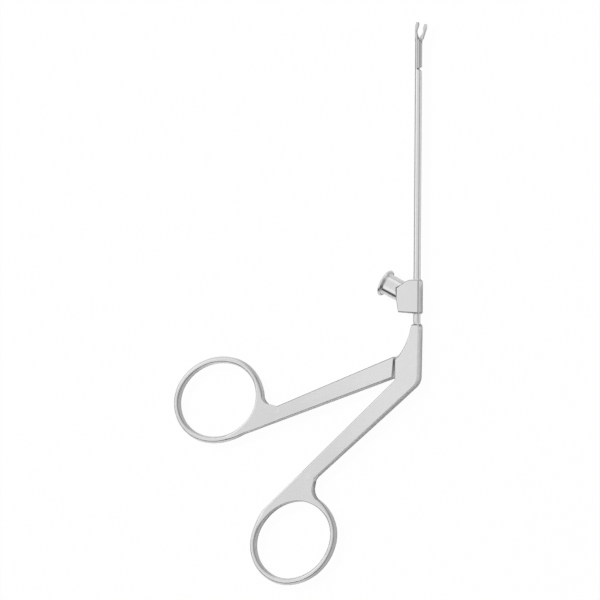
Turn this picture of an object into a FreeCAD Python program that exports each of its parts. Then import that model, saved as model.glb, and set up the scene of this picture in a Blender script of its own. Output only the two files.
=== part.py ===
import FreeCAD, Part
import math
import os

# Tubular micro ear forceps with a flushing port.
# X to the right, Y along the shaft towards the jaws, Z up; the tool lies flat.
# The origin is on the shaft axis, in the front face of the port block.
# Everything is drawn with the jaws open and the finger rings apart.

# travel
squeeze_deg = 10.0        # swing of the moving handle, open to closed
drive_arm = 2.3           # handle pivot to drive pin
jaw_arm = 1.1             # jaw pin to link pin
push = 2 * drive_arm * math.sin(math.radians(squeeze_deg / 2))
jaw_deg = 2 * math.degrees(math.asin(push / 2 / jaw_arm))

# clearances
run_gap = 0.05            # sideways play of leaf, blade and slider
pin_play = 0.03           # radial play of a pin in its running hole
cross_play = 0.03         # extra length of a pin's cross hole, each way
stop_gap = 0.05           # left between the shoulders when squeezed
bite_gap = 0.04           # left between the teeth when closed

# shaft tube
tube_d = 2.0
tube_bore = 1.5
tube_in_head = 3.0        # length seated in the handle
tube_end = 59.05          # where the tube stops on the fixed side
tube_rake = 0.5           # how much shorter it is on the slider side
port_hole_d = 1.1         # side hole that lets the rinse in

# push rod
rod_d = 0.8
rod_behind = 0.9          # the rod starts this far ahead of the drive pin
eye_t = 0.5
eye_r = 0.52
drive_pin_d = 0.5
bush_len = 2.0

# fixed handle: head
handle_t = 3.8
head_front = -12.65      # where the shaft enters the handle
head_right = 1.2
head_foot = 1.0
chamfer = 0.6
flank_x = -5.85           # flat flank that the moving shoulder closes on
flank_top = -22.5
flank_foot = -28.15
cheek_mid = (-2.82, -18.19)
heel_r = 4.2
slot_t = 1.5
slot_end = 0.72
slot_top = -15.95
edge_r = 0.35

# handles: shanks and finger rings
fixed_inner_deg = 42.4
fixed_outer_deg = 40.7
fixed_outer_y = -28.85     # outer edge line, taken at the head's foot
moving_top_deg = 21.1
moving_low_deg = 18.9
shoulder_lean_deg = 4.8
shoulder_h = 5.9
ring_long = 12.45
ring_wide = 11.0
ring_band = 1.88
ring_t = 3.0
oval_pull = 0.457         # how much tighter an oval's ends are, per mm of extra length
ring_neck_t = 2.5         # thickness of a shank where it meets its ring
thin_from = 4.0           # where a shank starts to get thinner
neck_r = 2.4
fixed_ring = (-36.25, -72.5)
fixed_ring_deg = 41.0
moving_ring = (-58.83, -32.97)
moving_ring_deg = 22.0

# pivot screw
pivot_x = -drive_arm
pivot_y = -23.15
screw_d = 1.6
screw_head_d = 2.9
screw_head_t = 0.7
screw_slot = 0.35
screw_skin = 0.4          # metal left over the blind end
leaf_r = 1.75             # leaf of the moving handle round the screw
nose_r = 0.6

# flushing port
block_t = 3.9             # beside the shaft; the block swells to the barrel's width at its back
block_right = 1.15
block_low = -9.47         # the block's front end is at zero
block_foot = (-4.72, -9.13)
block_back = (-5.3, -5.45)
block_brow_x = -0.9       # where the front end starts to bend down to the port
block_brow_r = 3.3
block_brow_deg = 34.0
block_corner = 0.5
block_edge_r = 0.45
luer_deg = 62.4           # from the shaft to the port's axis
luer_y = -5.65            # where the port's axis meets the shaft's
barrel_foot = 4.0         # shaft axis to the barrel's end, before it is fitted to the block
port_face = 11.0          # shaft axis to the port's outer face
barrel_d = 5.9
flange_d = 7.8
flange_t = 0.9
flange_round = 0.3
luer_mouth_d = 4.3
luer_taper = 0.06
luer_depth = 7.5

# tip
split_x = -0.12           # inner flat of the fixed side
slider_gap = 0.12         # from there to the slider
jaw_pin_x = -0.45
carrier_len = 8.2         # tube end to jaw pin
jaw_len = 5.05            # jaw pin to jaw tip
tip_pin_d = 0.35
boss_r = 0.33
blade_t = 0.6
root_len = 5.0            # fixed side's tongue inside the tube
jaw_w = 1.1
jaw_back = 0.95
tip_end_x = 0.62
bite_x = 0.05             # plane in which the jaws meet
waist_len = 2.3           # thin part of the fixed jaw
nose_len = 2.2            # rounded end of the fixed jaw's back
tooth_len = 0.9
teeth = 4
tooth_h = 0.1
web_t = 0.38              # jaw's thickness in the middle
foot_gap = 0.65           # tube end to the slider's foot
tail_len = 3.85           # slider's foot back to the rod

tube_r = tube_d / 2
tube_start = head_front - tube_in_head
half_t = handle_t / 2
leaf_t = slot_t - 2 * run_gap
tip_slot = blade_t + 2 * run_gap
jaw_pin_y = tube_end + carrier_len
jaw_tip = jaw_pin_y + jaw_len
slider_foot = tube_end + foot_gap
rod_joint = slider_foot - tail_len
pivot = (pivot_x, pivot_y)
drive = (0.0, pivot_y - push / 2)
link = (jaw_pin_x + jaw_arm * math.cos(math.radians(jaw_deg / 2)),
        jaw_pin_y - push / 2)
UP = FreeCAD.Vector(0, 0, 1)


def vec(x, y, z=0.0):
    return FreeCAD.Vector(x, y, z)


def polar(start, deg, dist):
    a = math.radians(deg)
    return (start[0] + dist * math.cos(a), start[1] + dist * math.sin(a))


def about(point, centre, deg):
    """Turns a point about a centre."""
    a = math.radians(deg)
    x, y = point[0] - centre[0], point[1] - centre[1]
    return (centre[0] + x * math.cos(a) - y * math.sin(a),
            centre[1] + x * math.sin(a) + y * math.cos(a))


def plate(points, z0, z1):
    """Flat piece with straight edges."""
    pts = [vec(x, y, z0) for x, y in points]
    face = Part.Face(Part.makePolygon(pts + pts[:1]))
    return face.extrude(vec(0, 0, z1 - z0))


def outline_plate(edges, z0, z1):
    """Flat piece from edges drawn at height zero."""
    face = Part.Face(Part.Wire(Part.__sortEdges__(edges)))
    face.translate(vec(0, 0, z0))
    return face.extrude(vec(0, 0, z1 - z0))


def disc(x, y, r, z0, z1):
    return Part.makeCylinder(r, z1 - z0, vec(x, y, z0), UP)


def bar(r, y0, y1, x=0.0):
    """Round bar along the shaft."""
    return Part.makeCylinder(r, y1 - y0, vec(x, y0, 0), vec(0, 1, 0))


def box(x0, x1, y0, y1, z0, z1):
    return Part.makeBox(x1 - x0, y1 - y0, z1 - z0, vec(x0, y0, z0))


def line(a, b):
    return Part.LineSegment(vec(*a), vec(*b)).toShape()


def arc(a, m, b):
    return Part.Arc(vec(*a), vec(*m), vec(*b)).toShape()


def turned(profile, at, direction):
    """Turned piece; the profile is (distance along the axis, radius)."""
    pts = [vec(r, 0, d) for d, r in profile]
    face = Part.Face(Part.makePolygon(pts + pts[:1]))
    body = face.revolve(vec(0, 0, 0), UP, 360)
    turn = FreeCAD.Rotation(UP, direction)
    body.Placement = FreeCAD.Placement(at, turn)
    return body


def upright(face):
    u0, u1, v0, v1 = face.ParameterRange
    return abs(face.normalAt((u0 + u1) / 2, (v0 + v1) / 2).z) < 0.01


def rim(body):
    """Edges between an upright side and a front or back face."""
    found = []
    for edge in body.Edges:
        sides = [upright(f) for f in body.Faces if any(edge.isSame(e) for e in f.Edges)]
        plain = isinstance(edge.Curve, (Part.Line, Part.Circle, Part.Ellipse))
        if plain and len(sides) == 2 and sides[0] != sides[1]:
            found.append(edge)
    return found


def oval(long_r, wide_r):
    """Four arcs that touch smoothly: centre, radius, first angle and sweep of each."""
    extra = long_r - wide_r
    end_r = wide_r - oval_pull * extra
    side_r = wide_r + (1 + 0.5 / oval_pull) * extra
    turn = math.degrees(math.atan2(1 + 0.5 / oval_pull, 1 + oval_pull))
    x, y = long_r - end_r, side_r - wide_r
    return [((x, 0), end_r, -turn, 2 * turn), ((0, -y), side_r, turn, 180 - 2 * turn),
            ((-x, 0), end_r, 180 - turn, 2 * turn), ((0, y), side_r, 180 + turn, 180 - 2 * turn)]


def oval_face(long_r, wide_r):
    edges = []
    for hub, r, first, sweep in oval(long_r, wide_r):
        ends = [polar(hub, first + sweep * share, r) for share in (0, 0.5, 1)]
        edges.append(arc(*ends))
    return Part.Face(Part.Wire(Part.__sortEdges__(edges)))


def placed(shape, centre, deg):
    shape.rotate(vec(0, 0), UP, deg)
    shape.translate(vec(*centre))
    return shape


def finger_ring(centre, deg):
    """Oval ring with an oval section, turned arc by arc."""
    section = oval_face(ring_t / 2, ring_band / 2)
    section.rotate(vec(0, 0), vec(0, 1, 0), -90)
    section.rotate(vec(0, 0), UP, -90)
    parts = []
    for hub, r, first, sweep in oval(ring_long, ring_wide):
        start = section.copy()
        start.translate(vec(r, 0))
        parts.append(placed(start.revolve(vec(0, 0), UP, sweep), hub, first))
    return placed(parts[0].multiFuse(parts[1:]).removeSplitter(), centre, deg)


def ring_room(centre, deg):
    """What the ring's middle line encloses; the shank stops at it."""
    room = oval_face(ring_long, ring_wide).extrude(vec(0, 0, 2 * handle_t))
    return placed(room, (centre[0], centre[1], -handle_t), deg)


def ring_foot(point, centre, deg):
    """Nearest point of the ring's middle line, and how far it is."""
    x, y = about(point, centre, -deg)
    x, y = x - centre[0], y - centre[1]
    (end, end_r, _, turn), (side, side_r, _, _) = oval(ring_long, ring_wide)[:2]
    at_end = 2 * math.degrees(math.atan2(abs(y), abs(x) - end[0])) < turn
    (cx, cy), r = (end, end_r) if at_end else (side, side_r)
    dist = math.hypot(abs(x) - cx, abs(y) - cy)
    foot = (centre[0] + math.copysign(cx + (abs(x) - cx) * r / dist, x),
            centre[1] + math.copysign(cy + (abs(y) - cy) * r / dist, y))
    return about(foot, centre, deg), dist - r


def neck_fillet(start, deg, side, centre, ring_deg):
    """Hollow corner between a shank's edge and its ring: its ends and middle."""
    off = polar(start, deg + side * 90, neck_r)
    reach = neck_r + ring_band / 2
    near = 0.0
    while ring_foot(polar(off, deg, near + 0.5), centre, ring_deg)[1] > reach:
        near += 0.5
    far = near + 0.5
    for _ in range(40):
        mid = (near + far) / 2
        if ring_foot(polar(off, deg, mid), centre, ring_deg)[1] > reach:
            near = mid
        else:
            far = mid
    hub = polar(off, deg, near)
    foot = polar(hub, deg - side * 90, neck_r)
    on_path = ring_foot(hub, centre, ring_deg)[0]
    aim = math.degrees(math.atan2(on_path[1] - hub[1], on_path[0] - hub[0]))
    touch = polar(hub, aim, neck_r)
    middle = ((foot[0] + touch[0]) / 2, (foot[1] + touch[1]) / 2)
    bow = math.degrees(math.atan2(middle[1] - hub[1], middle[0] - hub[0]))
    return foot, polar(hub, bow, neck_r), touch


def thinned(body, start, deg, length):
    """Cuts the faces down evenly, from the shank's start towards its ring."""
    fall = (half_t - ring_neck_t / 2) / (length - thin_from)
    far = length + 2 * ring_long
    end = half_t - fall * (far - thin_from)
    side = [(-far, half_t), (thin_from, half_t), (far, end)]
    pts = [vec(x, -far, z) for x, z in side] + [vec(x, -far, -z) for x, z in side[::-1]]
    tool = Part.Face(Part.makePolygon(pts + pts[:1])).extrude(vec(0, 2 * far, 0))
    return body.common(placed(tool, start, deg))


def fixed_plate():
    """Head and shank of the fixed handle in one outline."""
    inner = 180 + fixed_inner_deg
    outer = 180 + fixed_outer_deg
    corner = (head_foot, fixed_outer_y)
    foot, bow, touch = neck_fillet(corner, outer, 1, fixed_ring, fixed_ring_deg)
    run = math.hypot(fixed_ring[0] - flank_x, fixed_ring[1] - flank_foot)
    across = polar((flank_x, flank_foot), inner, run)
    turn = math.radians(90 - fixed_outer_deg)
    cut = heel_r * math.tan(turn / 2)
    down = (head_foot, corner[1] + cut)
    on = polar(corner, outer, cut)
    hub = (head_foot - heel_r, down[1])
    knee = polar(hub, -math.degrees(turn) / 2, heel_r)
    brow = head_front - chamfer
    left = (-head_right, brow)
    nose = head_right - chamfer / 3
    edges = [line((-nose, head_front), (nose, head_front)),
             line((nose, head_front), (head_right, brow)),
             line((head_right, brow), down), arc(down, knee, on), line(on, foot),
             arc(foot, bow, touch), line(touch, fixed_ring),
             line(fixed_ring, across), line(across, (flank_x, flank_foot)),
             line((flank_x, flank_foot), (flank_x, flank_top)),
             arc((flank_x, flank_top), cheek_mid, left),
             line(left, (-nose, head_front))]
    body = outline_plate(edges, -half_t, half_t)
    body = thinned(body, (flank_x, flank_foot), inner, run - ring_long)
    body = body.makeFillet(edge_r, rim(body))
    return body.cut(ring_room(fixed_ring, fixed_ring_deg))


def fixed_handle():
    body = fixed_plate().fuse(finger_ring(fixed_ring, fixed_ring_deg))
    slot = box(flank_x - handle_t, slot_end, flank_foot - 0.3, slot_top, -slot_t / 2, slot_t / 2)
    body = body.cut(slot)
    body = body.cut(bar(tube_r, tube_start, head_front + 1))
    body = body.cut(bar(rod_d / 2 + run_gap, slot_top - 1, head_front))
    shank = disc(*pivot, screw_d / 2, -half_t - 1, half_t - screw_skin)
    sink = disc(*pivot, screw_head_d / 2, -half_t - 1, -half_t + screw_head_t)
    return body.cut(shank.fuse(sink)).removeSplitter()


def moving_handle():
    top = 180 + moving_top_deg
    low = 180 + moving_low_deg
    low_corner = about((flank_x - stop_gap, flank_foot + stop_gap), pivot, -squeeze_deg)
    shoulder_top = polar(low_corner, 90 - shoulder_lean_deg, shoulder_h)
    foot, bow, touch = neck_fillet(shoulder_top, top, -1, moving_ring, moving_ring_deg)
    run = math.hypot(moving_ring[0] - low_corner[0], moving_ring[1] - low_corner[1])
    across = polar(low_corner, low, run)
    edges = [line(low_corner, shoulder_top), line(shoulder_top, foot), arc(foot, bow, touch),
             line(touch, moving_ring), line(moving_ring, across),
             line(across, low_corner)]
    body = outline_plate(edges, -half_t, half_t)
    body = thinned(body, low_corner, low, run - ring_long)
    body = body.makeFillet(edge_r, rim(body))
    body = body.cut(ring_room(moving_ring, moving_ring_deg))
    body = body.fuse(finger_ring(moving_ring, moving_ring_deg))
    body = body.fuse(leaf(shoulder_top, top, low_corner, low))
    nose_slit = box(-nose_r - 0.25, 2, drive[1] - 2, drive[1] + 2, -eye_t / 2 - run_gap,
                    eye_t / 2 + run_gap)
    body = body.cut(nose_slit).cut(disc(*pivot, screw_d / 2 + pin_play, -half_t, half_t))
    return body.cut(disc(*drive, drive_pin_d / 2, -half_t, half_t)).removeSplitter()


def leaf(shoulder_top, top, low_corner, low):
    """Thin leaf that runs in the head's slot, with the nose that drives the rod."""
    z = leaf_t / 2
    brow = polar(shoulder_top, top + 180, 1.4)
    points = [polar(shoulder_top, top, 3), brow, (pivot_x, pivot_y + leaf_r),
              (pivot_x + leaf_r * 0.8, pivot_y + leaf_r * 0.6), (drive[0], drive[1] + nose_r),
              (drive[0], drive[1] - nose_r), (pivot_x + leaf_r * 0.6, pivot_y - leaf_r * 0.8),
              polar(low_corner, low, -0.6), polar(low_corner, low, 3)]
    body = plate(points, -z, z)
    return body.fuse(disc(*pivot, leaf_r, -z, z)).fuse(disc(*drive, nose_r, -z, z))


def pivot_screw():
    low = -half_t
    body = disc(*pivot, screw_d / 2, low, half_t - screw_skin)
    body = body.fuse(disc(*pivot, screw_head_d / 2, low, low + screw_head_t))
    drive_slot = box(pivot_x - 2, pivot_x + 2, pivot_y - screw_slot / 2, pivot_y + screw_slot / 2,
                     low - 1, low + screw_head_t / 2)
    return body.cut(drive_slot)


def drive_pin():
    return disc(*drive, drive_pin_d / 2, -leaf_t / 2, leaf_t / 2)


def cross_hole(x, y, d, z):
    """Pin hole a little longer across the shaft, because the pin swings."""
    r = d / 2 + pin_play
    hole = disc(x - cross_play, y, r, -z, z).fuse(disc(x + cross_play, y, r, -z, z))
    return hole.fuse(box(x - cross_play, x + cross_play, y - r, y + r, -z, z))


def rod_eye():
    z = eye_t / 2
    start = drive[1] + rod_behind
    body = disc(*drive, eye_r, -z, z).fuse(box(-rod_d / 2, rod_d / 2, drive[1], start, -z, z))
    return body.cut(cross_hole(*drive, drive_pin_d, 1))


def push_rod():
    return bar(rod_d / 2, drive[1] + rod_behind, rod_joint)


def shaft_tube():
    body = bar(tube_r, tube_start, tube_end).cut(bar(tube_bore / 2, tube_start, tube_end))
    far = 4 * tube_r
    rake = [(split_x, tube_end), (split_x + far, tube_end - tube_rake * far),
            (split_x + far, tube_end + 1), (split_x, tube_end + 1)]
    body = body.cut(plate(rake, -2 * tube_r, 2 * tube_r))
    return body.cut(port_drill(tube_r * 1.5))


def rod_bush():
    body = bar(tube_bore / 2, tube_start, tube_start + bush_len)
    return body.cut(bar(rod_d / 2 + pin_play, tube_start, tube_start + bush_len))


def luer_axis():
    a = math.radians(luer_deg)
    return vec(-math.sin(a), math.cos(a), 0)


def port_drill(length):
    return Part.makeCylinder(port_hole_d / 2, length, vec(0, luer_y), luer_axis())


def luer_cone():
    """The tapered socket of the port."""
    mouth = luer_mouth_d / 2
    end = mouth - luer_taper / 2 * luer_depth
    out = 1.0
    return turned([(port_face + out, 0), (port_face + out, mouth + luer_taper / 2 * out),
                   (port_face - luer_depth, end), (port_face - luer_depth, 0)],
                  vec(0, luer_y), luer_axis())


def block_plate(z):
    """The block's outline as a plate of twice the given height."""
    hub = (block_brow_x, -block_brow_r)
    middle = polar(hub, 90 + block_brow_deg / 2, block_brow_r)
    brow = polar(hub, 90 + block_brow_deg, block_brow_r)
    fall = (brow[0] - block_back[0]) * math.tan(math.radians(block_brow_deg))
    top = (block_back[0], brow[1] - fall)
    foot = (block_right, block_low)
    front = (block_right, 0.0)
    bend = (block_brow_x, 0.0)
    edges = [line(foot, front), line(front, bend), arc(bend, middle, brow), line(brow, top),
             line(top, block_back), line(block_back, block_foot), line(block_foot, foot)]
    return outline_plate(edges, -z, z)


def wedge():
    """Room between the block's two broad faces, 1 mm longer at each end than the block."""
    rise = (barrel_d - block_t) / 2 / (block_right - block_back[0])
    near, far = block_t / 2 - rise, barrel_d / 2 + rise
    x0, x1 = block_right + 1, block_back[0] - 1
    pts = [vec(x, block_low - 1, z) for x, z in ((x0, near), (x1, far), (x1, -far), (x0, -near))]
    return Part.Face(Part.makePolygon(pts + pts[:1])).extrude(vec(0, 2 - block_low, 0))


def port_block():
    body = block_plate(barrel_d).common(wedge())
    corners = [e for e in body.Edges if e.BoundBox.ZLength > block_t * 0.99
               and not block_back[0] + 1e-6 < e.BoundBox.Center.x < block_right - 1e-6]
    body = body.makeFillet(block_corner, corners)
    body = body.makeFillet(block_edge_r, rim(body))
    body = body.cut(bar(tube_r, block_low - 1, 1)).cut(luer_cone())
    return body.cut(port_drill(port_face))


def luer_socket():
    r, f = barrel_d / 2, flange_d / 2
    back = port_face - flange_t
    body = turned([(barrel_foot, 0), (barrel_foot, r), (back - flange_round, r),
                   (back, r + flange_round), (back, f - flange_round),
                   (back + flange_round, f), (port_face - flange_round, f),
                   (port_face, f - flange_round), (port_face, 0)],
                  vec(0, luer_y), luer_axis())
    return body.cut(block_plate(barrel_d)).cut(luer_cone())


def bite(x, up):
    """Toothed edge of a jaw, from heel to tip or back."""
    step = tooth_len / teeth
    base = jaw_tip - 0.15 - tooth_len
    points = []
    for i in range(teeth):
        points.append((x, base + i * step))
        points.append((x + tooth_h, base + (i + 0.5) * step))
    points.append((x, base + tooth_len))
    return points if up else points[::-1]


def fixed_jaw():
    """Half-round carrier with the fixed jaw in front and a tongue in the tube."""
    top = jaw_pin_y + 0.55
    body = bar(tube_r, tube_end, top).common(box(-2, split_x, tube_end, top, -2, 2))
    tongue = bar(tube_bore / 2, tube_end - root_len, tube_end + 0.5)
    tongue = tongue.common(box(-2, -rod_d / 2 - run_gap, tube_end - root_len, tube_end + 0.5, -2, 2))
    face = bite_x - bite_gap / 2 - tooth_h
    waist = -jaw_back + web_t
    points = [(-jaw_back, top - 1.0), (split_x, top - 1.0), (split_x, top), (waist, top + 1.5),
              (waist + 0.04, top + waist_len)] + bite(face, True)
    points += [(face - 0.05, jaw_tip), (-tip_end_x + 0.1, jaw_tip), (-jaw_back + 0.1, jaw_tip - 1.0),
               (-jaw_back, jaw_tip - nose_len)]
    blade = plate(points, -jaw_w / 2, jaw_w / 2)
    body = body.fuse(tongue).fuse(blade)
    slot = box(jaw_pin_x - boss_r - run_gap, 1, jaw_pin_y - boss_r - 0.25, top + 0.65,
               -tip_slot / 2, tip_slot / 2)
    body = body.cut(slot)
    return body.cut(disc(jaw_pin_x, jaw_pin_y, tip_pin_d / 2, -2, 2)).removeSplitter()


def jaw_pin():
    pin = disc(jaw_pin_x, jaw_pin_y, tip_pin_d / 2, -2, 2)
    return pin.common(bar(tube_r, jaw_pin_y - 1, jaw_pin_y + 1))


def moving_jaw():
    """Drawn closed, then opened about the jaw pin."""
    closed_link = (link[0], jaw_pin_y + push / 2)
    z = blade_t / 2
    pin = (jaw_pin_x, jaw_pin_y)
    start = jaw_pin_y + 0.85
    neck = [(pin[0], pin[1] - boss_r), (closed_link[0], closed_link[1] - boss_r),
            (jaw_back + 0.12, closed_link[1] + 0.1), (jaw_back + 0.12, start + 0.2),
            (0.0, start + 0.2), (pin[0], pin[1] + boss_r)]
    body = plate(neck, -z, z).fuse(disc(*pin, boss_r, -z, z))
    body = body.fuse(disc(*closed_link, boss_r, -z, z))
    face = bite_x + bite_gap / 2
    waist = jaw_back - web_t
    points = [(0.0, start), (waist - 0.05, start + 1.3), (waist - 0.05, start + 2.0)]
    points += bite(face, True)
    points += [(face + 0.05, jaw_tip), (tip_end_x, jaw_tip), (jaw_back - 0.05, jaw_tip - 1.0),
               (jaw_back + 0.05, start + 1.0), (jaw_back + 0.12, start)]
    body = body.fuse(plate(points, -jaw_w / 2, jaw_w / 2))
    body = body.cut(disc(*pin, tip_pin_d / 2 + pin_play, -2, 2))
    body = body.cut(disc(*closed_link, tip_pin_d / 2, -2, 2)).removeSplitter()
    body.rotate(vec(*pin), UP, -jaw_deg)
    return body


def link_pin():
    pin = disc(*link, tip_pin_d / 2, -2, 2)
    return pin.common(bar(tube_r, link[1] - 1, link[1] + 1))


def jaw_slider():
    """Half-round slider beside the fixed side, with a round tail in the tube."""
    inner = split_x + slider_gap
    top = link[1] + boss_r
    body = bar(tube_r, slider_foot - 1, top).common(box(inner, 2, tube_end - 1, top, -2, 2))
    rake = [(inner, slider_foot - 0.4), (2, slider_foot + 0.6), (2, 0), (inner, 0)]
    body = body.cut(plate(rake, -2, 2))
    tail = bar(rod_d / 2, rod_joint, tube_end - push - run_gap)
    bridge = bar(rod_d / 2, rod_joint, slider_foot + 1).common(
        box(inner, 2, rod_joint, slider_foot + 1, -2, 2))
    body = body.fuse(tail).fuse(bridge)
    slot = box(-1, 2, link[1] - boss_r - 0.25, top + 1, -tip_slot / 2, tip_slot / 2)
    return body.cut(slot).cut(cross_hole(*link, tip_pin_d, 2)).removeSplitter()


NODES = {
    "fixed_handle": fixed_handle,
    "moving_handle": moving_handle,
    "pivot_screw": pivot_screw,
    "drive_pin": drive_pin,
    "rod_eye": rod_eye,
    "push_rod": push_rod,
    "rod_bush": rod_bush,
    "shaft_tube": shaft_tube,
    "port_block": port_block,
    "luer_socket": luer_socket,
    "fixed_jaw": fixed_jaw,
    "jaw_pin": jaw_pin,
    "moving_jaw": moving_jaw,
    "link_pin": link_pin,
    "jaw_slider": jaw_slider,
}


def main():
    os.makedirs("parts", exist_ok=True)
    for name, make in NODES.items():
        shape = make()
        if len(shape.Solids) == 1:
            shape = shape.Solids[0]
        print(name, shape.isValid(), len(shape.Solids), round(shape.Volume, 3))
        shape.exportStep("parts/" + name + ".step")


main()
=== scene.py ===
import bmesh
import bpy
import math
from mathutils import Matrix, Vector
from mathutils.bvhtree import BVHTree


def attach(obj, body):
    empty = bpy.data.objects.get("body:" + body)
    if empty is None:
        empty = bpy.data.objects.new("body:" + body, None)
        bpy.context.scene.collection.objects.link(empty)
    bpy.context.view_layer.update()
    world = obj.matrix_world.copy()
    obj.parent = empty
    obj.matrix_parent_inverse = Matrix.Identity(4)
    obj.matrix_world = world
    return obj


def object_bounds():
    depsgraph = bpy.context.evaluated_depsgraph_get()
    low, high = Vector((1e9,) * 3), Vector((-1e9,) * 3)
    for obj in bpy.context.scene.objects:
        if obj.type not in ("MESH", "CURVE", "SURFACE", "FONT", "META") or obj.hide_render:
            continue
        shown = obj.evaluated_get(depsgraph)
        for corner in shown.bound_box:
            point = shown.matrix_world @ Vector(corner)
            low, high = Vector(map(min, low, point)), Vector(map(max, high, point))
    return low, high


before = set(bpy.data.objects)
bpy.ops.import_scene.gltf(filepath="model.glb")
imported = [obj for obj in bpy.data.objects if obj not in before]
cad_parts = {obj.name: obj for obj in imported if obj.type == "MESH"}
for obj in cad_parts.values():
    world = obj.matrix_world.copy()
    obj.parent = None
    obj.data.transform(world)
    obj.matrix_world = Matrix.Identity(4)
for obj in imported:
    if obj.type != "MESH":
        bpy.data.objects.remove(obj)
CAD_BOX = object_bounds()
MM = 0.001

# Camera
YAW = math.radians(20.0)          # camera towards +X, away from straight above
PITCH = math.radians(-3.0)        # camera towards -Y
LEAN = math.radians(0.39)         # the shaft's top leans to the right in the picture
PICTURE = 600                     # the picture's width and height in pixels
PIXEL = 0.28 * MM                 # one pixel of it on the object
ANCHOR = Vector((0.0, -12.65 * MM, 0.0))    # shaft axis at the handle's front
ANCHOR_PX = (416.75, 325.0)                 # where the picture shows it
CAMERA_AWAY = 0.6
CAMERA_CLIP = (0.01, 5.0)

# Solder beads, in mm
TUBE_R = 1.0                      # the shaft tube's radius
BEAD_SUNK = 0.1                   # how far a bead's inside lies in the tube
BEAD_STEPS = 8                    # along its hollow flank
BEAD_ROUND = 64                   # round the tube

# Ring roots, in mm
RING_LONG, RING_WIDE = 12.45, 11.0          # a ring's middle line, half its length and width
RING_PULL = 0.457                 # how much of their difference its end arcs give up
RING_ARC_STEPS = 60               # points on each of its four arcs
BAND, HIGH = 0.94, 1.5            # half width and half height of a ring's section
REACH = 9.5                       # how far the root runs up the shank
MARCH = 0.05                      # step of the search for the shank's edge
LEAD = 20                         # rows of the root's run-out along the ring
SHANK_HALF = 1.28                 # half the shank's thickness at its edges
ROUND_R = 0.4                     # rounding along the edges
SINK, SINK_FROM, SINK_OVER = 0.06, 5.0, 2.5     # the far part dips into the shank
INNER_STEPS, OUTER_STEPS = 12, 30           # of a row, inside and outside the middle line
ON_RING = 0.12                    # metal this far off the ring's section belongs to the shank
BLEND_ROWS = 1.4 * LEAD           # rows from the ring's own section to the flat one
TIP = 0.05                        # how far the root's last points lie inside the shank
RING_FIT, FLAT_FIT = 0.99, 1.002  # the root's height to the ring's and to the shank's
OVAL_POWER, FLAT_POWER = 2, 5     # of the inner side's curve, round at the ends and flat between
NECK_DEPTH = 3.0                  # how far round its hub the hollow corner is filled
NECK_STRIP = 1.8                  # width of the strip along the corner's wall
NECK_SHARE = 0.55                 # share of the corner that the strip covers
NECK_STEPS = 48
NECK_PROBE = 2.8                  # how far round the hub the shank's height is taken
NECK_Z = (1.2, 1.34)              # least and greatest half height of the strip
NECK_EDGE, NECK_DIP = 0.12, 0.03  # cut of its rounded edge, and fall of its hidden side

# Steel
TONE_SPREAD = 0.025               # how far clouds and grain shift the tint, each way
LINES_SHARE, BANDS_SHARE, CLOUD_SHARE = 0.34, 0.33, 0.33      # in the tone
CLOUD_MM, SPECK_MM = (7.0, 4.0, 4.0), (0.16, 0.16, 0.16)
BAND_MM, TURNED_BAND_MM = 1.3, 0.5          # width of the broad bands along the lines
BAND_LENGTH = 2.5                 # their length, to the fine lines'
WORN_TINT = 1.06                  # how much brighter the worn edges are
WORN_GLOSS = 0.35                 # how much smoother
GRAIN_ROUGH = 0.10                # what lines and clouds each add to the roughness
# painted shade in corners and gaps: brightness by ambient occlusion
CREVICE_PAINTED_SHADE = [(0.12, 0.30), (0.45, 0.66), (0.80, 1.0)]
RELIEF = 0.006                    # height of the grinding marks in mm
TURNED_GLOSS = 0.75               # how far a turned piece's gloss is drawn out
RING_FADE = 40.0                  # mm of shank over which its handle gets darker
RING_START = 1.5                  # the ring's own look starts this far inside its border
# painted shade on a ring's walls, darker where they face right
RING_WALL_PAINTED_SHADE = [(0.60, 1.0), (0.78, 0.70)]
# the shank darker towards its ring
SHANK_DARKER_TO_RING = [(0.2, 0.93), (0.85, 1.0)]

# Room that the steel mirrors, by the sine of the elevation: a dark gap low down, a ring of
# soft boxes and a duller ceiling. The gap reaches higher on the right and is closed at the
# far end.
ROOM = [(0.0, 0.10), (0.20, 0.10), (0.36, 0.9), (0.46, 1.1), (0.70, 1.1), (0.88, 0.90),
        (1.0, 0.90)]
LIFT_RIGHT_FROM, LIFT_RIGHT, LIFT_FAR, LIFT_NEAR = 0.35, 0.85, -0.35, 0.25
RIGHT_DIM = [(0.60, 1.0), (0.85, 0.72)]
RIGHT_WALL = [(0.45, 0.0), (0.70, 0.40), (0.95, 0.40), (0.985, 0.88)]
ROOM_HELD_BACK = 0.45             # share of its light that doesn't reach matt surfaces

# Floor
FLOOR_HALF = 3.0
FLOOR_BELOW = 0.05 * MM
FLOOR_TONE = 0.8
FLOOR_SEEN, FLOOR_MIRRORED = 0.97, 0.05     # share of plain white to the eye and in the steel
LAMP_TARGET = Vector((-0.03, 0.0, 0.0))


def make_camera():
    """Parallel view at the photograph's angle, since the real one was taken from a long way off."""
    flat = math.cos(PITCH)
    back = Vector((math.sin(YAW) * flat, math.sin(PITCH), math.cos(YAW) * flat))
    level = Vector((math.cos(YAW), 0.0, -math.sin(YAW)))
    upright = back.cross(level)
    right = level * math.cos(LEAN) + upright * math.sin(LEAN)
    up = upright * math.cos(LEAN) - level * math.sin(LEAN)
    middle = PICTURE / 2
    centre = ANCHOR + right * (middle - ANCHOR_PX[0]) * PIXEL - up * (middle - ANCHOR_PX[1]) * PIXEL
    data = bpy.data.cameras.new("camera")
    data.type = "ORTHO"
    data.ortho_scale = PICTURE * PIXEL
    data.clip_start, data.clip_end = CAMERA_CLIP
    cam = bpy.data.objects.new("camera", data)
    bpy.context.scene.collection.objects.link(cam)
    turn = Matrix((right, up, back)).transposed().to_4x4()
    cam.matrix_world = Matrix.Translation(centre + back * CAMERA_AWAY) @ turn
    bpy.context.scene.camera = cam


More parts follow.
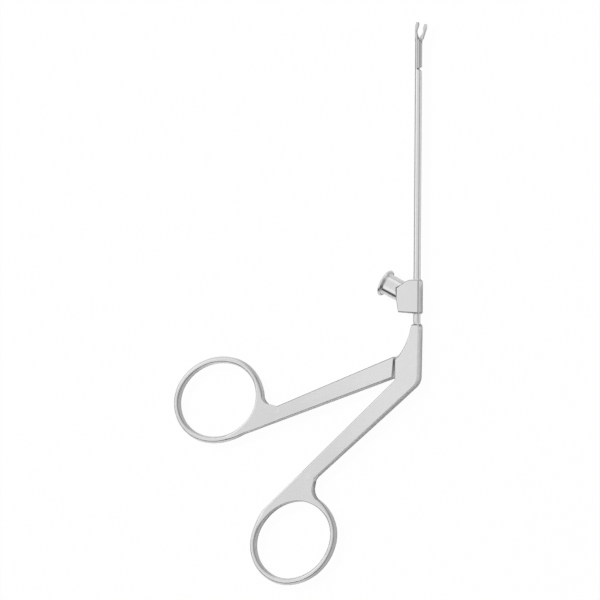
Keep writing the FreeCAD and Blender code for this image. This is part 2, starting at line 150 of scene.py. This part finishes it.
class Tree:
    """Short calls for making and joining the shader nodes of a material or a world."""

    def __init__(self, owner):
        owner.use_nodes = True
        self.tree = owner.node_tree
        self.tree.nodes.clear()

    def node(self, kind, **values):
        n = self.tree.nodes.new(kind)
        for key, value in values.items():
            setattr(n, key, value)
        return n

    def link(self, a, b):
        self.tree.links.new(a, b)

    def fill(self, sockets, values):
        """Join each value that is a socket, and set each that is a number."""
        for socket, v in zip(sockets, values):
            if isinstance(v, bpy.types.NodeSocket):
                self.link(v, socket)
            else:
                socket.default_value = v

    def math(self, op, *values):
        n = self.node("ShaderNodeMath", operation=op)
        self.fill(n.inputs, values)
        return n.outputs[0]

    def vector(self, op, *values):
        n = self.node("ShaderNodeVectorMath", operation=op)
        self.fill(n.inputs, values)
        return n.outputs["Value" if op == "DOT_PRODUCT" else "Vector"]

    def parts(self, vector):
        n = self.node("ShaderNodeSeparateXYZ")
        self.link(vector, n.inputs[0])
        return n.outputs["X"], n.outputs["Y"], n.outputs["Z"]

    def halved(self, value):
        """A part of a direction, -1 to 1, as 0 to 1."""
        return self.math("ADD", self.math("MULTIPLY", value, 0.5), 0.5)

    def ramp(self, fac, stops):
        """Greys or colours at the stops, with straight lines between them."""
        n = self.node("ShaderNodeValToRGB")
        n.color_ramp.interpolation = "LINEAR"
        els = n.color_ramp.elements
        while len(els) < len(stops):
            els.new(0.5)
        for el, (pos, v) in zip(els, stops):
            el.position = pos
            el.color = (v, v, v, 1) if isinstance(v, (int, float)) else (*v, 1)
        self.link(fac, n.inputs[0])
        return n.outputs[0]

    def mixed(self, fac, a, b, blend="MIX"):
        """Two colours mixed."""
        n = self.node("ShaderNodeMix", data_type="RGBA", blend_type=blend)
        self.fill((n.inputs[0], n.inputs[6], n.inputs[7]), (fac, a, b))
        return n.outputs[2]

    def shaded(self, colour, shade):
        return self.mixed(1.0, colour, shade, "MULTIPLY")


def painted_edge_shade(t, coord, facing, rim_painted_shade, painted_rim_right_share, ring):
    """Painted shade, and on right-facing edges a painted highlight: how much darker or brighter a
    handle's or block's rounded edges are, by the way they face.
    """
    k = 1 - rim_painted_shade
    shade = t.ramp(t.math("ABSOLUTE", facing[2]), [(0.05, 1.0), (0.2, k), (0.92, k), (0.98, 1.0)])
    side = t.halved(facing[0])
    shade = t.math("MAXIMUM", shade, t.ramp(side, [(0.52, 0.0), (0.62, 1 - rim_painted_shade * painted_rim_right_share)]))
    if ring:
        a = math.radians(ring[0])
        along = t.vector("DOT_PRODUCT", coord, (math.cos(a) / MM, math.sin(a) / MM, 0.0))
        past = t.math("DIVIDE", t.math("SUBTRACT", along, ring[1] - RING_START), RING_FADE)
        on_shank = t.ramp(past, [(0.0, 0.0), (0.07, 1.0)])
        walls = t.math("MULTIPLY", t.ramp(side, RING_WALL_PAINTED_SHADE), t.math("SUBTRACT", 1.0, on_shank))
        shade = t.math("ADD", t.math("MULTIPLY", shade, on_shank), walls)
        shade = t.math("MULTIPLY", shade, t.ramp(past, SHANK_DARKER_TO_RING))
    return shade


def steel(name, tint, rough, turn, fine_w=0.11, long=18.0, bump=0.25, edge=0.30, rim_painted_shade=0.0,
          painted_rim_right_share=1.0, turned=False, crevice_shade_mm=0.9, left_painted_shade=0.0, ring=None):
    """Stainless steel ground along one direction, with polished edges and faint hand marks.

    turn is the direction of the grinding lines in degrees from +X, fine_w their width and long
    their length in mm, edge the width in mm of the band along each edge that wear has polished,
    rim_painted_shade how much painted shade darkens the rounded edges, in place of the dark of the
    room that the polish mirrors, and painted_rim_right_share the share of that on the edges that
    face right, which paints a highlight there when it is below zero. left_painted_shade paints the
    same shade on the flank of a round piece that faces -X. crevice_shade_mm is how wide a corner or
    gap is that still gets painted shade.
    A turned piece has its lines round the axis that turn gives, and its gloss drawn out along it.
    ring is, for a handle, the direction in degrees from its ring to its head, and the mm along
    that at which the ring ends: the ring gets no painted rim shade, only painted shade on walls
    that face right, and the shank is a little darker towards it.
    """
    mat = bpy.data.materials.new(name)
    t = Tree(mat)
    out = t.node("ShaderNodeOutputMaterial")
    bsdf = t.node("ShaderNodeBsdfPrincipled")
    t.link(bsdf.outputs[0], out.inputs[0])
    bsdf.inputs["Metallic"].default_value = 1.0
    texture = t.node("ShaderNodeTexCoord")
    coord = texture.outputs["Object"]
    grid = t.node("ShaderNodeMapping", vector_type="TEXTURE")
    grid.inputs["Rotation"].default_value = (0, 0, math.radians(turn))
    grid.inputs["Scale"].default_value = (MM, MM, MM)
    t.link(coord, grid.inputs[0])

    def noise(size, detail, grit, bend=0.0):
        """Noise whose features have the given size in mm along and across the grinding lines."""
        m = t.node("ShaderNodeMapping")
        m.inputs["Scale"].default_value = tuple(1.0 / v for v in size)
        t.link(grid.outputs[0], m.inputs[0])
        n = t.node("ShaderNodeTexNoise")
        n.inputs["Scale"].default_value = 1.0
        n.inputs["Detail"].default_value = detail
        n.inputs["Roughness"].default_value = grit
        n.inputs["Distortion"].default_value = bend
        t.link(m.outputs[0], n.inputs["Vector"])
        return n.outputs[0]

    def drawn(across, along):
        return (across, along, along) if turned else (along, across, across)

    lines = noise(drawn(fine_w, long), 4.0, 0.6)
    bands = noise(drawn(TURNED_BAND_MM if turned else BAND_MM, long * BAND_LENGTH), 2.0, 0.5)
    cloud = noise(CLOUD_MM, 4.0, 0.55, 0.4)
    speck = noise(SPECK_MM, 2.0, 0.5)

    # worn band along the edges: there the rounded normal leaves the true one
    rounded = t.node("ShaderNodeBevel", samples=4)
    rounded.inputs["Radius"].default_value = edge * MM
    true = t.node("ShaderNodeNewGeometry").outputs["Normal"]
    worn = t.ramp(t.vector("DOT_PRODUCT", rounded.outputs[0], true), [(0.90, 1.0), (0.998, 0.0)])
    worn = t.math("MULTIPLY", worn, t.ramp(speck, [(0.3, 0.35), (0.6, 1.0)]))

    # colour
    shade = t.math("MULTIPLY", lines, LINES_SHARE)
    shade = t.math("ADD", shade, t.math("MULTIPLY", bands, BANDS_SHARE))
    shade = t.math("ADD", shade, t.math("MULTIPLY", cloud, CLOUD_SHARE))
    low = tuple(c * (1 - TONE_SPREAD) for c in tint)
    high = tuple(min(1.0, c * (1 + TONE_SPREAD)) for c in tint)
    bright = (*(min(1.0, c * WORN_TINT) for c in tint), 1)
    tone = t.mixed(worn, t.ramp(shade, [(0.36, low), (0.64, high)]), bright)
    facing = t.parts(texture.outputs["Normal"])
    # painted shade on the flank of a round piece that faces -X
    if left_painted_shade:
        tone = t.shaded(tone, t.ramp(t.halved(facing[0]), [(0.16, 1 - left_painted_shade), (0.26, 1.0)]))
    # painted shade on the rounded edges by the way they face, with a painted highlight where the
    # right share is below zero
    if rim_painted_shade:
        tone = t.shaded(tone, painted_edge_shade(t, coord, facing, rim_painted_shade, painted_rim_right_share, ring))

    # painted shade: corners and gaps darker by ambient occlusion
    occlusion = t.node("ShaderNodeAmbientOcclusion", samples=6)
    occlusion.inputs["Distance"].default_value = crevice_shade_mm * MM
    t.link(t.shaded(tone, t.ramp(occlusion.outputs["AO"], CREVICE_PAINTED_SHADE)), bsdf.inputs["Base Color"])

    # roughness
    r = t.math("ADD", t.math("MULTIPLY", lines, GRAIN_ROUGH),
               t.math("MULTIPLY", cloud, GRAIN_ROUGH))
    r = t.math("ADD", r, rough - GRAIN_ROUGH)
    smoother = t.math("MULTIPLY", worn, rough * WORN_GLOSS)
    t.link(t.math("SUBTRACT", r, smoother), bsdf.inputs["Roughness"])
    if turned:
        axis = (math.cos(math.radians(turn)), math.sin(math.radians(turn)), 0.0)
        around = t.vector("CROSS_PRODUCT", true, axis)
        t.link(t.vector("CROSS_PRODUCT", around, true), bsdf.inputs["Tangent"])
        bsdf.inputs["Anisotropic"].default_value = TURNED_GLOSS

    # relief
    relief = t.node("ShaderNodeBump")
    relief.inputs["Strength"].default_value = bump
    relief.inputs["Distance"].default_value = RELIEF * MM
    height = t.math("ADD", t.math("MULTIPLY", lines, 0.75), t.math("MULTIPLY", speck, 0.25))
    t.link(height, relief.inputs["Height"])
    t.link(relief.outputs[0], bsdf.inputs["Normal"])
    return mat


def dress(node, mat):
    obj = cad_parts[node]
    obj.data.materials.clear()
    obj.data.materials.append(mat)


def add_mesh(name, verts, faces, mat):
    """New smooth object from points in metres, with points that coincide made one."""
    mesh = bpy.data.meshes.new(name)
    mesh.from_pydata(verts, [], faces)
    weld = bmesh.new()
    weld.from_mesh(mesh)
    bmesh.ops.remove_doubles(weld, verts=weld.verts, dist=1e-7)
    weld.to_mesh(mesh)
    weld.free()
    mesh.shade_smooth()
    mesh.materials.append(mat)
    obj = bpy.data.objects.new(name, mesh)
    bpy.context.scene.collection.objects.link(obj)
    return obj


def solder_bead(name, y0, y1, r, mat):
    """Bead of hard solder round the tube, hollow-sided, from the face at y0 out to y1."""
    rise = y1 - y0
    section = [(y0, TUBE_R - BEAD_SUNK)]
    for i in range(BEAD_STEPS + 1):
        a = math.pi / 2 * i / BEAD_STEPS
        section.append((y0 + rise * (1 - math.cos(a)), TUBE_R + r * (1 - math.sin(a))))
    section.append((y1, TUBE_R - BEAD_SUNK))
    verts, faces = [], []
    for y, q in section:
        for k in range(BEAD_ROUND):
            a = 2 * math.pi * k / BEAD_ROUND
            verts.append((q * math.cos(a) * MM, y * MM, q * math.sin(a) * MM))
    for i in range(len(section)):
        here, there = i * BEAD_ROUND, (i + 1) % len(section) * BEAD_ROUND
        for k in range(BEAD_ROUND):
            after = (k + 1) % BEAD_ROUND
            quad = (here + k, here + after, there + after, there + k)
            faces.append(quad if rise > 0 else quad[::-1])
    obj = add_mesh(name, verts, faces, mat)
    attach(obj, "frame")


def ring_line(centre, deg):
    """Points on a finger ring's middle line with their outward directions, all the way round."""
    extra = RING_LONG - RING_WIDE
    end_r = RING_WIDE - RING_PULL * extra
    side_r = RING_WIDE + (1 + 0.5 / RING_PULL) * extra
    turn = math.atan2(1 + 0.5 / RING_PULL, 1 + RING_PULL)
    x, y = RING_LONG - end_r, side_r - RING_WIDE
    end_sweep, side_sweep = 2 * turn, math.pi - 2 * turn
    arcs = [((x, 0), end_r, -turn, end_sweep),
            ((0, -y), side_r, turn, side_sweep),
            ((-x, 0), end_r, math.pi - turn, end_sweep),
            ((0, y), side_r, math.pi + turn, side_sweep)]
    tilt = Matrix.Rotation(math.radians(deg), 2)
    line = []
    for hub, r, first, sweep in arcs:
        for k in range(RING_ARC_STEPS):
            a = first + sweep * k / RING_ARC_STEPS
            out = Vector((math.cos(a), math.sin(a)))
            line.append((tilt @ (Vector(hub) + out * r) + Vector(centre), tilt @ out))
    return line


def eased(v):
    v = min(max(v, 0.0), 1.0)
    return v * v * (3 - 2 * v)


class Handle:
    """A handle's solid, measured in mm, with the hollow corner at its ring filled to a wider one.

    neck is that corner: its hub, its radius and its directions in degrees at ring and shank.
    """

    def __init__(self, node, neck):
        self.solid = BVHTree.FromObject(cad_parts[node], bpy.context.evaluated_depsgraph_get())
        self.hub, self.neck_r, self.at_ring, self.at_shank = Vector(neck[0]), *neck[1:]

    def inside(self, q):
        off = q - self.hub
        turn = math.degrees(math.atan2(off.y, off.x)) % 360
        ends = self.at_ring, self.at_shank
        if self.neck_r < off.length < self.neck_r + NECK_DEPTH and min(ends) < turn < max(ends):
            return True
        # just above mid height, an odd number of surfaces lies over a point in the solid
        inside, at = False, Vector((q.x * MM, q.y * MM, 0.0002 * MM))
        while (hit := self.solid.ray_cast(at, Vector((0, 0, 1)))[0]) is not None:
            inside = not inside
            at = hit + Vector((0, 0, 1e-7))
        return inside

    def top(self, q):
        """Height of the solid's upper side, 0 where there is none."""
        hit = self.solid.ray_cast(Vector((q.x * MM, q.y * MM, 0.01)), Vector((0, 0, -1)))[0]
        return hit.z / MM if hit else 0.0

    def span(self, p, out):
        """How far metal runs out from the ring's middle line, up to REACH."""
        far = BAND
        while far < REACH and self.inside(p + out * (far + MARCH)):
            far += MARCH
        return far


def root_rows(handle, line):
    """Rows across the root, from the ring's inner edge to the shank: points and half heights."""
    n = len(line)
    on = [handle.inside(p + out * (BAND + ON_RING)) for p, out in line]
    start = next(i for i in range(n) if on[i] and not on[i - 1])
    count = next(k for k in range(n) if not on[(start + k) % n])
    run = [line[(start + k) % n] for k in range(-LEAD, count + LEAD)]
    first, last = handle.span(*run[LEAD]), handle.span(*run[-1 - LEAD])
    rows = []
    for i, (p, out) in enumerate(run):
        # 0 where the root is the ring's own section, 1 where it is flat like the shank
        m = eased(min(i, len(run) - 1 - i) / BLEND_ROWS)
        far = handle.span(p, out)
        for corner, away in ((first, LEAD - i), (last, i - len(run) + 1 + LEAD)):
            if away > 0:
                far = max(far, BAND + (corner - BAND) * max(0.0, 1 - away / LEAD) ** 2)
        at_edge = far < REACH - MARCH
        low = SHANK_HALF if at_edge else handle.top(p + out * far) or SHANK_HALF
        power = OVAL_POWER + (FLAT_POWER - OVAL_POWER) * m
        row = []
        for k in range(INNER_STEPS):
            v = -math.sin(math.pi / 2 * (1 - k / INNER_STEPS))
            z = HIGH * max(0.0, 1 - abs(v) ** power) ** (1 / power)
            row.append((p + out * v * BAND, z * (RING_FIT + (FLAT_FIT - RING_FIT) * m)))
        for k in range(OUTER_STEPS + 1):
            v = k / OUTER_STEPS * far
            oval = HIGH * math.sqrt(max(0.0, 1 - (v / (far if at_edge else BAND)) ** 2))
            z = HIGH + (low - HIGH) * eased(v / REACH) - SINK * eased((v - SINK_FROM) / SINK_OVER)
            if at_edge and far - v < ROUND_R:
                z += math.sqrt(max(0.0, ROUND_R ** 2 - (ROUND_R - far + v) ** 2)) - ROUND_R
            elif k == OUTER_STEPS:
                z = low - TIP
            row.append((p + out * v, oval * RING_FIT * (1 - m) + z * FLAT_FIT * m))
        rows.append(row)
    return rows


def neck_strip(handle):
    """Sections of the part of the hollow corner that the rows from the ring don't reach."""
    sections = []
    for k in range(NECK_STEPS + 1):
        turn = handle.at_shank + (handle.at_ring - handle.at_shank) * NECK_SHARE * k / NECK_STEPS
        way = Vector((math.cos(math.radians(turn)), math.sin(math.radians(turn))))
        z = handle.top(handle.hub + way * (handle.neck_r + NECK_PROBE))
        z = min(max(z, NECK_Z[0]), NECK_Z[1])
        half = [(0.0, z - ROUND_R), (NECK_EDGE, z - NECK_EDGE), (ROUND_R, z),
                (NECK_STRIP, z - NECK_DIP)]
        loop = half + [(v, -h) for v, h in reversed(half)]
        sections.append([(handle.hub + way * (handle.neck_r + v), h) for v, h in loop])
    return sections


def ring_root(name, node, body, centre, deg, mat, neck):
    """The metal that runs flat from the shank over its ring, up to the ring's inner edge."""
    handle = Handle(node, neck)
    rows = root_rows(handle, ring_line(centre, deg))
    # each row becomes a closed loop: along its upper side and back along its lower one
    tubes = [[row + [(q, -z) for q, z in reversed(row)] for row in rows], neck_strip(handle)]
    verts, faces = [], []
    for loops in tubes:
        wide, base = len(loops[0]), len(verts)
        for i, loop in enumerate(loops):
            at = base + i * wide
            verts += [(q.x * MM, q.y * MM, z * MM) for q, z in loop]
            if i:
                faces += [(at - wide + j, at - wide + (j + 1) % wide, at + (j + 1) % wide, at + j)
                          for j in range(wide)]
        # the two ends, across from the upper to the lower side
        for at, turned in ((base, False), (base + (len(loops) - 1) * wide, True)):
            for j in range(wide // 2 - 1):
                quad = (at + j, at + wide - 1 - j, at + wide - 2 - j, at + j + 1)
                faces.append(quad[::-1] if turned else quad)
    obj = add_mesh(name, verts, faces, mat)
    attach(obj, body)


def make_metal():
    grey = (0.78, 0.78, 0.782)
    fixed = steel("satin_fixed", grey, 0.27, 41.6, rim_painted_shade=0.40, painted_rim_right_share=0.0, ring=(41.0, -60.5))
    # the share below zero gives this handle's right-facing edges a painted highlight
    moving = steel("satin_moving", grey, 0.27, 20.0, rim_painted_shade=0.68, painted_rim_right_share=-0.22, ring=(22.0, -52.5))
    block = steel("satin_block", grey, 0.24, 90.0, rim_painted_shade=0.36)
    shaft = steel("bright_shaft", (0.75, 0.75, 0.752), 0.19, 90.0, fine_w=0.05, bump=0.12,
                  edge=0.08, left_painted_shade=0.32)
    small = steel("bright_small", (0.66, 0.66, 0.663), 0.20, 90.0, fine_w=0.04, long=3.0,
                  bump=0.12, edge=0.06, rim_painted_shade=0.2, crevice_shade_mm=1.6)
    barrel = steel("bright_barrel", (0.74, 0.74, 0.742), 0.17, 152.4, fine_w=0.06, long=6.0,
                   bump=0.2, edge=0.10, turned=True)
    solder = steel("solder", (0.80, 0.80, 0.79), 0.12, 90.0, fine_w=0.3, long=0.5, bump=0.1,
                   edge=0.05, crevice_shade_mm=0.2)
    dress("fixed_handle", fixed)
    dress("moving_handle", moving)
    dress("port_block", block)
    dress("luer_socket", barrel)
    dress("shaft_tube", shaft)
    for node in ("pivot_screw", "drive_pin", "rod_eye", "push_rod", "rod_bush",
                 "fixed_jaw", "jaw_pin", "moving_jaw", "link_pin", "jaw_slider"):
        dress(node, small)
    ring_root("fixed_ring_root", "fixed_handle", "frame", (-36.25, -72.5), 41.0, fixed,
              neck=((-25.944, -57.961), 4.5, 236.6, 130.7))
    ring_root("moving_ring_root", "moving_handle", "lever", (-58.83, -32.97), 22.0, moving,
              neck=((-41.913, -31.331), 3.7, 183.2, 291.1))
    solder_bead("solder_head", -12.68, -11.95, 0.75, solder)
    solder_bead("solder_block_front", -0.03, 0.32, 0.32, solder)
    solder_bead("solder_block_back", -9.44, -9.79, 0.32, solder)


def make_world():
    """White to the eye and through glass; steel mirrors the room, and matt pieces get less."""
    world = bpy.data.worlds.new("studio")
    bpy.context.scene.world = world
    t = Tree(world)
    out = t.node("ShaderNodeOutputWorld")
    x, y, z = t.parts(t.node("ShaderNodeTexCoord").outputs["Generated"])
    beyond = t.math("MAXIMUM", t.math("SUBTRACT", x, LIFT_RIGHT_FROM), 0.0)
    far = t.math("MULTIPLY", t.math("MAXIMUM", y, 0.0), LIFT_FAR)
    near = t.math("MULTIPLY", t.math("MAXIMUM", t.math("MULTIPLY", y, -1.0), 0.0), LIFT_NEAR)
    lift = t.math("ADD", t.math("ADD", t.math("MULTIPLY", beyond, LIFT_RIGHT), far), near)
    room = t.ramp(t.math("SUBTRACT", z, lift), ROOM)
    room = t.math("MULTIPLY", room, t.ramp(t.halved(x), RIGHT_DIM))
    room = t.math("MAXIMUM", room, t.ramp(x, RIGHT_WALL))
    path = t.node("ShaderNodeLightPath")
    held = t.math("MULTIPLY", path.outputs["Is Diffuse Ray"], ROOM_HELD_BACK)
    studio = t.node("ShaderNodeBackground")
    t.link(room, studio.inputs[0])
    t.link(t.math("SUBTRACT", 1.0, held), studio.inputs[1])
    seen = t.node("ShaderNodeBackground")
    seen.inputs[0].default_value = (1, 1, 1, 1)
    mix = t.node("ShaderNodeMixShader")
    straight = t.math("MAXIMUM", path.outputs["Is Camera Ray"], path.outputs["Is Transmission Ray"])
    t.fill(mix.inputs, (straight, studio.outputs[0], seen.outputs[0]))
    t.link(mix.outputs[0], out.inputs[0])


def make_floor():
    """Plain pale floor, near white to the eye, with the object's shadow on it."""
    s, z = FLOOR_HALF, CAD_BOX[0].z - FLOOR_BELOW
    mesh = bpy.data.meshes.new("floor")
    mesh.from_pydata([(-s, -s, z), (s, -s, z), (s, s, z), (-s, s, z)], [], [(0, 1, 2, 3)])
    floor = bpy.data.objects.new("floor", mesh)
    bpy.context.scene.collection.objects.link(floor)
    mat = bpy.data.materials.new("floor")
    t = Tree(mat)
    out = t.node("ShaderNodeOutputMaterial")
    plain = t.node("ShaderNodeBsdfDiffuse")
    plain.inputs[0].default_value = (FLOOR_TONE, FLOOR_TONE, FLOOR_TONE, 1)
    glow = t.node("ShaderNodeEmission")
    glow.inputs[0].default_value = (1, 1, 1, 1)
    path = t.node("ShaderNodeLightPath")
    straight = t.math("MAXIMUM", path.outputs["Is Camera Ray"], path.outputs["Is Transmission Ray"])
    share = t.math("ADD", t.math("MULTIPLY", straight, FLOOR_SEEN),
                   t.math("MULTIPLY", path.outputs["Is Glossy Ray"], FLOOR_MIRRORED))
    mix = t.node("ShaderNodeMixShader")
    t.fill(mix.inputs, (share, plain.outputs[0], glow.outputs[0]))
    t.link(mix.outputs[0], out.inputs[0])
    mesh.materials.append(mat)


def lamp(name, at, size, power, mirrored=True):
    """Round soft lamp aimed at the handles; mirrored tells whether the steel shows it."""
    data = bpy.data.lights.new(name, "AREA")
    data.shape = "DISK"
    data.size = size
    data.energy = power
    obj = bpy.data.objects.new(name, data)
    bpy.context.scene.collection.objects.link(obj)
    obj.location = at
    obj.rotation_euler = (LAMP_TARGET - Vector(at)).to_track_quat("-Z", "Y").to_euler()
    obj.visible_glossy = mirrored


make_camera()
make_metal()
make_world()
make_floor()
lamp("side", (-0.60, 0.30, 0.62), 0.45, 0.25)
lamp("top", (-0.27, 0.26, 0.92), 0.16, 5.5, mirrored=False)
bpy.context.scene.view_settings.view_transform = "Standard"
